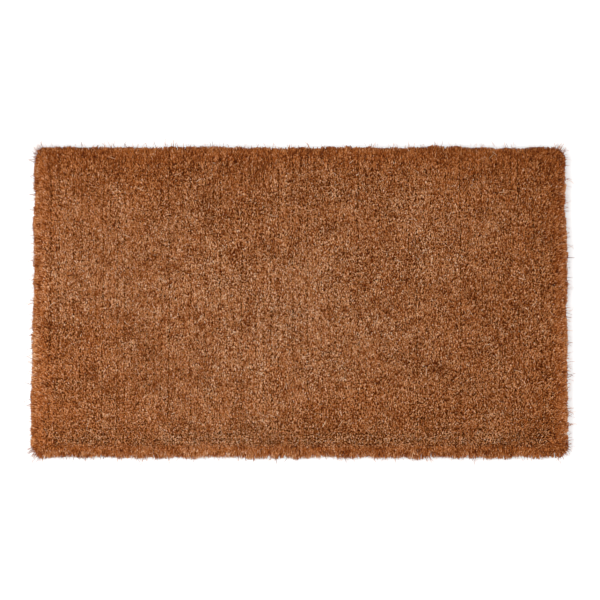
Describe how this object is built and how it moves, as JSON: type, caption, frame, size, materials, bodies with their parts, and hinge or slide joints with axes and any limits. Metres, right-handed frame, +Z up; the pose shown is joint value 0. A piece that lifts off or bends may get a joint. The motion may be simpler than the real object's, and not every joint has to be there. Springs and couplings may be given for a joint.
{
  "type": "door mat",
  "caption": "Thick rectangular coir door mat: upright brush pile in close rows on a hand-woven base, with a whipped edging cord round it.",
  "frame": {"origin": "on the floor, under the middle of the mat", "axes": "+X along the long side, +Y along the short side away from a person who stands at the front, +Z up through the pile"},
  "size_m": [0.762, 0.457, 0.03],
  "materials": {
    "coir_pile": "matt cut ends of golden-brown coir fibre, standing upright, lighter at the tips and dark between the tufts",
    "coir_yarn": "two-ply twisted coir yarn, matt, darker brown, with loose fibre ends",
    "coir_cord": "three-strand plaited coir cord, matt, orange brown",
    "coir_twine": "thin pale two-ply sewing twine, matt"
  },
  "bodies": {
    "root": {"pile": "coir_pile", "chain_yarn_01": "coir_yarn", "chain_yarn_02": "coir_yarn", "chain_yarn_03": "coir_yarn", "chain_yarn_04": "coir_yarn", "chain_yarn_05": "coir_yarn", "chain_yarn_06": "coir_yarn", "chain_yarn_07": "coir_yarn", "chain_yarn_08": "coir_yarn", "chain_yarn_09": "coir_yarn", "chain_yarn_10": "coir_yarn", "chain_yarn_11": "coir_yarn", "chain_yarn_12": "coir_yarn", "chain_yarn_13": "coir_yarn", "chain_yarn_14": "coir_yarn", "chain_yarn_15": "coir_yarn", "chain_yarn_16": "coir_yarn", "chain_yarn_17": "coir_yarn", "chain_yarn_18": "coir_yarn", "chain_yarn_19": "coir_yarn", "chain_yarn_20": "coir_yarn", "chain_yarn_21": "coir_yarn", "chain_yarn_22": "coir_yarn", "chain_yarn_23": "coir_yarn", "chain_yarn_24": "coir_yarn", "chain_yarn_25": "coir_yarn", "chain_yarn_26": "coir_yarn", "chain_yarn_27": "coir_yarn", "chain_yarn_28": "coir_yarn", "chain_yarn_29": "coir_yarn", "weft_yarn": "coir_yarn", "edging_cord_front": "coir_cord", "edging_cord_back": "coir_cord", "edging_cord_left": "coir_cord", "edging_cord_right": "coir_cord", "sewing_twine_front": "coir_twine", "sewing_twine_back": "coir_twine", "sewing_twine_left": "coir_twine", "sewing_twine_right": "coir_twine"}
  },
  "joints": []
}
